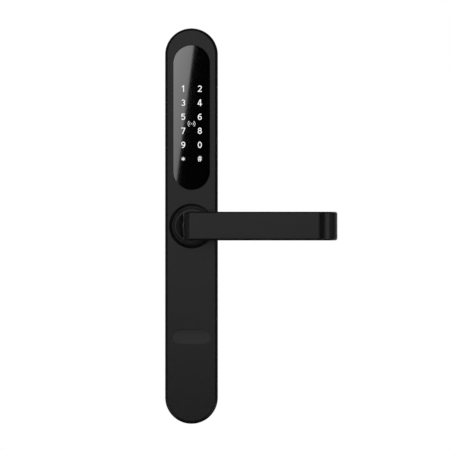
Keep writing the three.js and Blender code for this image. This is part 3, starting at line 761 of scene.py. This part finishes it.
def make_grub_screw():
    body = slab_z("set_screw", circle(2 * MM, 0, GRUB_Y, 48), GRUB_LOW.z, GRUB_HIGH.z, 0.25 * MM, 0.1 * MM)
    hexagon = arc(0, GRUB_Y, 1.2 * MM, 0, 300, 5)
    combine(body, [slab_z("cutter", hexagon, GRUB_LOW.z - OVER, GRUB_LOW.z + 2.2 * MM)])
    place(body, DARK_STEEL, "lever", "steel", "grub_screw")


make_lever()
make_collar()
make_grub_screw()

# --------------------------------------------
# Keyhole shutter and key cylinder
# --------------------------------------------

CYLINDER_LOW, CYLINDER_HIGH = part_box("key_cylinder")
KEY_Z = middle("key_cylinder").z
PLUG_LOW, PLUG_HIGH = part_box("cylinder_plug")


def make_shutter():
    """The shutter's face is hollowed by a long roller, deepest at the top edge of its window."""
    width = SHUTTER_HIGH.x - SHUTTER_LOW.x
    height = SHUTTER_HIGH.z - SHUTTER_LOW.z
    front = SHUTTER_LOW.y
    outline = rectangle(width, height, 1 * MM, v=SHUTTER_Z)
    plate = slab_y("shutter_plate", outline, front, SHUTTER_HIGH.y, 0.05 * MM, 0.1 * MM)
    radius = (WINDOW_HEIGHT**2 + DISH_DEPTH**2) / (2 * DISH_DEPTH)
    axis_y = front + DISH_DEPTH - radius
    axis_z = SHUTTER_Z + WINDOW_HEIGHT / 2
    section = circle(radius, axis_y, axis_z, steps=512)
    roller = skin("cutter", [[(x, y, z) for y, z in section] for x in (-width, width)])
    combine(plate, [roller])
    place(plate, COAT, "shutter", "black_coat", "keyhole_shutter")


def make_guide():
    low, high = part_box("shutter_guide")
    outline = rectangle(high.x - low.x, high.z - low.z, 2 * MM, v=middle("shutter_guide").z)
    sheet = slab_y("guide_sheet", outline, low.y, high.y, 0.1 * MM, 0.1 * MM)
    front = low.y - OVER
    back = high.y + OVER
    stake_x = 13 * MM
    stakes = [(x, z) for x in (-stake_x, stake_x) for z in (-63 * MM, -94 * MM)]
    holes = [rod(1.1 * MM, front, back, x, z, 32) for x, z in stakes]
    holes.append(rod(8.4 * MM, front, back, 0, KEY_Z, 96))
    combine(sheet, holes)
    place(sheet, STEEL, "case", "steel", "shutter_guide")


def make_cylinder():
    front = CYLINDER_LOW.y
    back = CYLINDER_HIGH.y
    outer = 8 * MM
    bore = 5.95 * MM
    lip = 6.75 * MM
    lip_depth = 1.35 * MM
    profile = [
        (lip, front, 0.1 * MM),
        (outer, front, 0.4 * MM),
        (outer, back),
        (bore, back),
        (bore, front + lip_depth),
        (lip, front + lip_depth),
    ]
    barrel = lathe("cylinder_body", soften(profile, closed=True), 0, KEY_Z, ring=True)
    flange_outline = pill(CYLINDER_HIGH.x - CYLINDER_LOW.x, 14 * MM, v=KEY_Z)
    flange_thick = 2.65 * MM
    flange = slab_y("flange", flange_outline, back - flange_thick, back)
    combine(flange, [rod(bore + 1 * MM, back - 4 * MM, back + OVER, 0, KEY_Z, 96)])
    combine(barrel, [flange], "UNION")
    screw_x = 11.2 * MM
    holes = [rod(1.55 * MM, back - 5 * MM, back + OVER, x, KEY_Z, 24) for x in (-screw_x, screw_x)]
    combine(barrel, holes)
    place(barrel, BRASS, "case", "brass", "key_cylinder")


def keyway_outline():
    """The slot for the key's blade, with a ward on each side."""
    steps = [
        (1.2, -4.2), (1.2, -1.6), (0.7, -1.3), (0.7, -0.5), (1.2, -0.2), (1.2, 4.2),
        (-1.2, 4.2), (-1.2, 2.4), (-0.5, 2.1), (-0.5, 1.3), (-1.2, 1.0), (-1.2, -4.2),
    ]
    return [(u * MM, KEY_Z + v * MM) for u, v in steps]


def make_keyway_cutter(front):
    """The keyway's floor slants, so that the slot looks dark from in front."""
    outline = keyway_outline()
    mouth = inset(outline, -0.15 * MM)
    floor_y = -11 * MM
    slope = 0.9
    rings = [
        [(u, floor_y - slope * (v - KEY_Z), v) for u, v in outline],
        [(u, front + 0.5 * MM, v) for u, v in outline],
        [(u, front + 0.3 * MM, v) for u, v in mouth],
        [(u, front - OVER, v) for u, v in mouth],
    ]
    return skin("cutter", rings)


def make_plug():
    front = PLUG_LOW.y
    back = PLUG_HIGH.y
    lip = PLUG_HIGH.x
    lip_thick = 1.2 * MM
    dish = 0.35 * MM
    body = 5.8 * MM
    groove = 5.0 * MM
    groove_front = -1.9 * MM
    groove_back = -1.3 * MM
    profile = [
        (0, front + dish),
        (lip - 2.6 * MM, front + dish, 1.2 * MM),
        (lip - 1.6 * MM, front, 0.5 * MM),
        (lip, front, 0.3 * MM),
        (lip, front + lip_thick),
        (body, front + lip_thick),
        (body, groove_front),
        (groove, groove_front),
        (groove, groove_back),
        (body, groove_back),
        (body, back, 0.2 * MM),
        (0, back),
    ]
    plug = lathe("plug_body", soften(profile), 0, KEY_Z)
    keyway = make_keyway_cutter(front)
    tail_low, tail_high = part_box("tail_bar")
    gap = 0.1 * MM
    tail_slot = box(
        (tail_low.x - gap, tail_low.y - 2 * gap, tail_low.z - gap),
        (tail_high.x + gap, back + OVER, tail_high.z + gap),
    )
    combine(plug, [keyway, tail_slot])
    place(plug, BRASS, "key_plug", "brass", "cylinder_plug")


def make_plug_clip():
    low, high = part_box("plug_clip")
    bore = 5.1 * MM
    profile = [
        (bore, low.y, 0.1 * MM),
        (high.x, low.y, 0.15 * MM),
        (high.x, high.y, 0.15 * MM),
        (bore, high.y, 0.1 * MM),
    ]
    clip = lathe("clip_ring", soften(profile, closed=True), 0, KEY_Z, ring=True)
    half_gap = 1.6 * MM
    combine(clip, [box((-half_gap, -5 * MM, KEY_Z - 9 * MM), (half_gap, OVER, KEY_Z))])
    place(clip, DARK_STEEL, "key_plug", "steel", "plug_clip")


def make_tail_bar():
    """The flat bar has snap grooves near its end, so that it can be broken off to the door's thickness."""
    low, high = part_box("tail_bar")
    groove_pitch = 5 * MM
    groove_count = 3
    half_groove = 0.5 * MM
    outline = rectangle(high.x - low.x, high.z - low.z, 0.4 * MM, v=KEY_Z)
    levels = [(low.y, 0)]
    for i in range(groove_count, 0, -1):
        y = high.y - i * groove_pitch
        levels += [(y - half_groove, 0), (y, 0.3 * MM), (y + half_groove, 0)]
    levels += [(high.y - 0.5 * MM, 0), (high.y, 0.35 * MM)]
    place(stack_y("tail_blade", outline, levels), STEEL, "key_plug", "steel", "tail_bar")


make_shutter()
make_guide()
make_cylinder()
make_plug()
make_plug_clip()
make_tail_bar()

# --------------------------------------------
# Rear: back plate, gasket, posts, spindle, grommet and screws
# --------------------------------------------

PLATE_LOW, PLATE_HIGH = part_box("back_plate")
PLATE_WIDTH = PLATE_HIGH.x - PLATE_LOW.x
PLATE_HEIGHT = PLATE_HIGH.z - PLATE_LOW.z
SCREW_HEAD = 2.9 * MM
COUNTERSUNK = sorted(node for node in frame["nodes"] if node.startswith(("case_screw", "cylinder_screw")))


def make_back_plate():
    outline = pill(PLATE_WIDTH, PLATE_HEIGHT, steps=96)
    plate = slab_y("rear_plate", outline, PLATE_LOW.y, PLATE_HIGH.y, 0.1 * MM, 0.25 * MM)
    front = PLATE_LOW.y - OVER
    back = PLATE_HIGH.y + OVER
    post_radius = 4.05 * MM
    tools = [
        rod(9 * MM, front, back, steps=96),
        rod(7.2 * MM, front, back, 0, KEY_Z, 96),
        rod(5.5 * MM, front, back, 0, middle("cable_grommet").z, 64),
        rod(post_radius, front, back, 0, middle("mounting_post_upper").z, 64),
        rod(post_radius, front, back, 0, middle("mounting_post_lower").z, 64),
    ]
    hole = 1.7 * MM
    sink = 3.3 * MM
    profile = [(0, front), (hole, front), (hole, -1.4 * MM), (sink, 0.2 * MM), (0, 0.2 * MM)]
    for node in COUNTERSUNK:
        centre = middle(node)
        tools.append(lathe("cutter", profile, centre.x, centre.z, 48))
    combine(plate, tools)
    place(plate, STEEL, "case", "steel", "back_plate")


def make_gasket():
    low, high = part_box("rear_gasket")
    gap = 0.2 * MM
    outer = pill(high.x - low.x, high.z - low.z, steps=96)
    hole = pill(PLATE_WIDTH + 2 * gap, PLATE_HEIGHT + 2 * gap, steps=96)
    levels = [(low.y, 0, 0), (high.y - 0.3 * MM, 0, 0), (high.y, 0.3 * MM, -0.1 * MM)]
    rings = [[(u, y, v) for u, v in inset(outer, step)] for y, step, _ in levels]
    rings += [[(u, y, v) for u, v in inset(hole, step)] for y, _, step in reversed(levels)]
    place(skin("gasket_ring", rings, closed=True), RUBBER, "case", "rubber", "rear_gasket")


def thread(radius, depth, pitch, start, end):
    """The saw-tooth profile of a thread's wall, from one y to another."""
    count = int(abs(end - start) / pitch)
    step = (end - start) / count
    points = []
    for i in range(count):
        points += [(radius, start + step * i), (radius + depth, start + step * (i + 0.5))]
    points.append((radius, end))
    return points


def make_post(node, name):
    low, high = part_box(node)
    head = high.x
    body = 4 * MM
    bore = 2.1 * MM
    bore_front = 8 * MM
    seat = PLATE_LOW.y - 0.05 * MM
    profile = [
        (0, low.y),
        (head, low.y, 0.3 * MM),
        (head, seat, 0.2 * MM),
        (body, seat),
        (body, high.y, 0.6 * MM),
        (bore + 0.5 * MM, high.y),
    ]
    wall = thread(bore, 0.35 * MM, 0.8 * MM, high.y - 0.4 * MM, bore_front)
    post = lathe(name, soften(profile) + wall + [(0, bore_front)], 0, middle(node).z, 64)
    place(post, TURNED, "case", "steel", node)


def make_spindle():
    low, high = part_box("spindle")
    side = high.x - low.x
    bar = slab_y("spindle_bar", rectangle(side, side, 0.6 * MM, steps=4), low.y, high.y, 0, 0.7 * MM)
    place(bar, STEEL, "drive", "steel", "spindle")


def make_follower():
    low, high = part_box("clutch_follower")
    disc = high.x
    journal = 8.8 * MM
    step_y = low.y + 2.65 * MM
    profile = [
        (0, low.y),
        (disc, low.y, 0.3 * MM),
        (disc, step_y, 0.2 * MM),
        (journal, step_y),
        (journal, high.y, 0.35 * MM),
        (0, high.y),
    ]
    follower = lathe("follower_disc", soften(profile))
    square = 8.2 * MM
    tools = [cutter_y(rectangle(square, square, 0.6 * MM), low.y, high.y + 2 * MM)]
    dog_x = 8.7 * MM
    half_dog = 1.75 * MM
    for x in (-dog_x, dog_x):
        near = (x - half_dog, low.y - OVER, -half_dog)
        far = (x + half_dog, low.y + 1.6 * MM, half_dog)
        tools.append(box(near, far))
    combine(follower, tools)
    place(follower, TURNED, "drive", "steel", "clutch_follower")


def make_grommet():
    low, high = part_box("cable_grommet")
    hole = 3.6 * MM
    waist = 5.4 * MM
    seat = PLATE_LOW.y - 0.05 * MM
    profile = [
        (hole, low.y, 0.6 * MM),
        (high.x, low.y, 0.5 * MM),
        (high.x, seat, 0.3 * MM),
        (waist, seat),
        (waist, high.y, 0.4 * MM),
        (hole, high.y, 0.5 * MM),
    ]
    centre_z = middle("cable_grommet").z
    ring = lathe("loom_grommet", soften(profile, closed=True), 0, centre_z, 64, ring=True)
    place(ring, RUBBER, "case", "rubber", "cable_grommet")


def star_outline(radius, depth, x, z, lobes=6):
    """A lobed driver recess."""
    points = []
    for u, v in circle(1, steps=72):
        reach = radius + depth * math.cos(lobes * math.atan2(v, u))
        points.append((x + u * reach, z + v * reach))
    return points


def make_countersunk_screw(node):
    low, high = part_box(node)
    x = (low.x + high.x) / 2
    z = (low.z + high.z) / 2
    shank = 1.1 * MM if node.startswith("case") else 1.4 * MM
    profile = [
        (0, low.y),
        (shank * 0.6, low.y),
        (shank, low.y + 0.8 * MM),
        (shank, -1.6 * MM, 0.2 * MM),
        (SCREW_HEAD, high.y - 0.1 * MM, 0.15 * MM),
        (SCREW_HEAD - 0.4 * MM, high.y, 0.3 * MM),
        (0, high.y),
    ]
    screw = lathe(node.replace("screw", "bolt"), soften(profile), x, z, 48)
    star = star_outline(1.05 * MM, 0.17 * MM, x, z)
    combine(screw, [slab_y("cutter", star, high.y - 1.2 * MM, high.y + OVER)])
    place(screw, DARK_STEEL, "case", "steel", node)


make_back_plate()
make_gasket()
make_post("mounting_post_upper", "post_upper")
make_post("mounting_post_lower", "post_lower")
make_spindle()
make_follower()
make_grommet()
for screw_node in COUNTERSUNK:
    make_countersunk_screw(screw_node)

# --------------------------------------------
# Emergency power socket and the loom's socket
# --------------------------------------------


def make_power_port():
    """A drawn steel shell, open at the bottom, round a tongue with gold contacts."""
    mouth = PORT_LOW.z
    top = PORT_HIGH.z
    wall = 0.35 * MM
    lip = 0.1 * MM
    outer = pill(PORT_HIGH.x - PORT_LOW.x, PORT_HIGH.y - PORT_LOW.y, v=PORT_Y, steps=24)
    inner = inset(outer, wall)
    levels = [(outer, top), (outer, mouth + 0.15 * MM), (inset(outer, lip), mouth)]
    levels += [(inset(outer, wall - lip), mouth), (inner, mouth + 0.2 * MM), (inner, top - 1.2 * MM)]
    shell = skin("port_shell", [[(u, v, z) for u, v in outline] for outline, z in levels])
    place(shell, STEEL, "case", "steel", "power_port")
    tongue_outline = rectangle(6.6 * MM, 0.7 * MM, 0.1 * MM, v=PORT_Y, steps=3)
    tongue = slab_z("port_tongue", tongue_outline, mouth + 1 * MM, top - 1.3 * MM, 0.15 * MM)
    place(tongue, POLYMER, "case", "polymer")
    pad_count = 8
    pad_pitch = 0.7 * MM
    pad_offset = 0.37 * MM
    pads = []
    for i in range(pad_count):
        x = (i - (pad_count - 1) / 2) * pad_pitch
        for side in (-1, 1):
            outline = rectangle(0.36 * MM, 0.06 * MM, 0.02 * MM, x, PORT_Y + side * pad_offset, steps=2)
            pads.append(slab_z("port_contacts", outline, mouth + 1.3 * MM, mouth + 4.5 * MM))
    place(combine(pads[0], pads[1:], "UNION"), CONTACT, "case", "copper")


def make_loom_pins():
    """The pins that show in the loom's socket, behind the grommet: two rows of four."""
    low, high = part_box("cable_socket")
    centre_z = middle("cable_socket").z
    pitch = 1.5 * MM
    half_row = 1.0 * MM
    side = 0.5 * MM
    pins = []
    for column in range(4):
        for row in (-1, 1):
            x = (column - 1.5) * pitch
            outline = rectangle(side, side, 0.1 * MM, x, centre_z + row * half_row, steps=2)
            pins.append(slab_y("loom_pins", outline, low.y + 0.9 * MM, high.y - 1 * MM, 0, 0.15 * MM))
    place(combine(pins[0], pins[1:], "UNION"), CONTACT, "case", "copper")


make_power_port()
make_loom_pins()

# --------------------------------------------
# Finishes of the CAD nodes that stay
# --------------------------------------------

NODE_FINISH = {
    "rubber": RUBBER,
    "polymer": POLYMER,
    "nylon": NYLON,
    "circuit": BOARD,
    "steel": STEEL,
    "brass": BRASS,
    "copper": COPPER,
    "black_coat": COAT,
    "black_glass": GLASS,
}
for subpart in frame["record"]["subparts"]:
    node_object = frame["nodes"][subpart["node"]]
    node_object.data.materials.clear()
    node_object.data.materials.append(NODE_FINISH[subpart["material_slot"]])

# --------------------------------------------
# Stage: camera, floor, light
# --------------------------------------------

FRAME_WIDTH = 341.2 * MM  # the view's width at the case's face
FRAME_CENTRE = Vector((25.4 * MM, 0, 0.8 * MM))
CAMERA_DISTANCE = 6.0
FLOOR_RADIUS = 0.5
FLOOR_THICK = 0.002
FLOOR_DROP = 62 * MM  # from the lock's lower end down to the floor's top


def make_camera():
    data = bpy.data.cameras.new("camera")
    camera = bpy.data.objects.new("camera", data)
    SCENE.collection.objects.link(camera)
    camera.location = FRAME_CENTRE + Vector((0, CASE_FRONT - CAMERA_DISTANCE, 0))
    camera.rotation_euler = (math.radians(90), 0, 0)
    data.lens = data.sensor_width * CAMERA_DISTANCE / FRAME_WIDTH
    SCENE.camera = camera


def make_floor():
    profile = [(0, 0), (FLOOR_RADIUS, 0), (FLOOR_RADIUS, FLOOR_THICK), (0, FLOOR_THICK)]
    floor = lathe("floor", profile, steps=96)
    floor.data.transform(Matrix.Rotation(math.radians(-90), 4, "X"))
    floor.data.transform(Matrix.Translation((0, 0, CAD_LOW.z - FLOOR_DROP)))
    surface = Surface("pale_floor", grey(0.8), 0.6)
    surface.tint(surface.noise(60 * MM), grey(0.795), grey(0.805))
    floor.data.materials.append(surface.material)
    floor.visible_glossy = False


def restrict(lamp, names, link_state):
    """Lets a light reach only these pieces (INCLUDE), or all but these (EXCLUDE)."""
    receivers = bpy.data.collections.new(lamp.name + " receivers")
    for name in names:
        receivers.objects.link(bpy.data.objects[name])
    lamp.light_linking.receiver_collection = receivers
    for entry in receivers.collection_objects:
        entry.light_linking.link_state = link_state


def softbox(name, place_at, aim, width, height, radiance, only=(), never=()):
    """A rectangular soft light at a place, facing its aim. It may light only some pieces, or all but some."""
    data = bpy.data.lights.new(name, "AREA")
    data.shape = "RECTANGLE"
    data.size = width
    data.size_y = height
    data.energy = radiance * width * height * math.pi
    lamp = bpy.data.objects.new(name, data)
    SCENE.collection.objects.link(lamp)
    toward = (Vector(aim) - Vector(place_at)).normalized()
    turn = toward.to_track_quat("-Z", "Y").to_matrix().to_4x4()
    lamp.matrix_world = Matrix.Translation(place_at) @ turn
    lamp.visible_camera = False
    if only:
        restrict(lamp, only, "INCLUDE")
    if never:
        restrict(lamp, never, "EXCLUDE")
    return lamp


def fade(data, foot, edge, edge_start=0.92):
    """Dims a softbox to a share of its radiance at its foot, and to another share close to one edge."""
    data.use_nodes = True
    tree = data.node_tree
    geometry = tree.nodes.new("ShaderNodeNewGeometry")
    parts = tree.nodes.new("ShaderNodeSeparateXYZ")
    tree.links.new(geometry.outputs["Parametric"], parts.inputs["Vector"])
    upwards = map_range(tree, parts.outputs["Y"], (0, 1), foot, 1)
    across = map_range(tree, parts.outputs["X"], (edge_start, 1), 1, edge)
    tree.links.new(product(tree, upwards, across), tree.nodes["Emission"].inputs["Strength"])


def make_glass_window():
    """The softbox whose slanting edge shows in the glass. It stands close, and only the glass sees it."""
    distance = 0.3
    y = CASE_FRONT - distance
    top = Vector((0.5 * MM, y, 142.8 * MM))
    bottom = Vector((-14.0 * MM, y, 29.4 * MM))
    tilt = math.atan2(top.x - bottom.x, top.z - bottom.z)
    width = 0.25
    height = 0.3
    centre = (top + bottom) / 2 + Vector((-math.cos(tilt), 0, math.sin(tilt))) * width / 2
    window = softbox("glass_window", centre, centre + Vector((0, 1, 0)), width, height, 6.6, only=PANEL)
    upright = Matrix.Rotation(math.radians(90), 4, "X")
    window.matrix_world = Matrix.Translation(centre) @ Matrix.Rotation(tilt, 4, "Y") @ upright
    fade(window.data, foot=0.45, edge=0.75)


def around(distance, azimuth, z=0.0):
    """A place about the upright axis through the origin. Azimuth 0 is the camera's side and 90 is +X."""
    turn = math.radians(azimuth)
    return Vector((distance * math.sin(turn), -distance * math.cos(turn), z))


PANEL = ["touch_panel"]
BAR = ["lever_bar"]
COLLAR = ["lever_collar"]
HUB = ["lever_collar", "rosette_ring"]
LEVER_BEND = Vector((0.1, -0.05, 0))
BAND_DISTANCE = 1.5
FILL_DISTANCE = 1.9
# The bands of light in the lever's free end: name, azimuth, spread in degrees and radiance.
BANDS = [("bend_front", 59, 28, 0.66), ("bend_side", 91, 22, 0.155), ("bend_back", 127, 22, 0.22)]


def make_lights():
    """Each softbox has a name, a place, an aim, a width, a height and a radiance."""
    origin = (0, 0, 0)
    softbox("front", (-0.26, -2.02, 0.56), (-0.26, 0, 0.56), 1.18, 1.48, 0.775, never=PANEL)
    softbox("hub_top", (0.35, -0.35, 1.3), origin, 1.7, 1.6, 0.36, only=HUB)
    softbox("hub_left", (-1.15, -0.61, 0), origin, 1.8, 1.4, 0.13, only=COLLAR + BAR)
    softbox("hub_low", (0, -1.3, -0.5), origin, 1.4, 0.6, 0.4, only=COLLAR)
    for name, azimuth, spread, radiance in BANDS:
        place_at = LEVER_BEND + around(BAND_DISTANCE, azimuth)
        width = 2 * BAND_DISTANCE * math.tan(math.radians(spread / 2))
        softbox(name, place_at, LEVER_BEND, width, 1.3, radiance, only=BAR)
    for azimuth in (-135, -45, 45, 135):
        shaded = HUB + BAR if azimuth == -135 else HUB
        softbox(f"fill_{azimuth}", around(FILL_DISTANCE, azimuth, -0.9), origin, 1.2, 1.3, 0.5, never=shaded)
    for name, x in (("side_left", -1.8), ("side_right", 1.8)):
        softbox(name, (x, 0.06, 0), origin, 0.45, 2.0, 0.4, never=HUB + BAR)
    softbox("back", (0.1, 2.0, 0.4), origin, 2.2, 2.0, 1.1)
    softbox("overhead", (0, 0.35, 1.95), origin, 1.4, 0.6, 0.45)
    softbox("floor_light", (0, 0, 1.6), origin, 2.4, 2.4, 1.7, only=["floor"])
    make_glass_window()


def make_world():
    """White behind the object for the camera. What the object mirrors is a dim room, black towards the
    camera's side and lighter above than below."""
    world = bpy.data.worlds.new("studio")
    SCENE.world = world
    world.use_nodes = True
    tree = world.node_tree
    nodes = tree.nodes
    parts = nodes.new("ShaderNodeSeparateXYZ")
    tree.links.new(nodes.new("ShaderNodeTexCoord").outputs["Generated"], parts.inputs["Vector"])
    height = map_range(tree, parts.outputs["Z"], (-0.7, 0.9), 0.01, 0.05)
    away_from_front = map_range(tree, parts.outputs["Y"], (-0.98, -0.85), 0, 1)
    room = nodes.new("ShaderNodeBackground")
    tree.links.new(product(tree, height, away_from_front), room.inputs["Strength"])
    backdrop = nodes["Background"]
    for background in (room, backdrop):
        background.inputs["Color"].default_value = (1, 1, 1, 1)
    mix = nodes.new("ShaderNodeMixShader")
    path = nodes.new("ShaderNodeLightPath")
    tree.links.new(path.outputs["Is Camera Ray"], mix.inputs["Fac"])
    tree.links.new(room.outputs["Background"], mix.inputs[1])
    tree.links.new(backdrop.outputs["Background"], mix.inputs[2])
    tree.links.new(mix.outputs["Shader"], nodes["World Output"].inputs["Surface"])


make_camera()
make_floor()
make_lights()
make_world()
SCENE.view_settings.view_transform = "Standard"
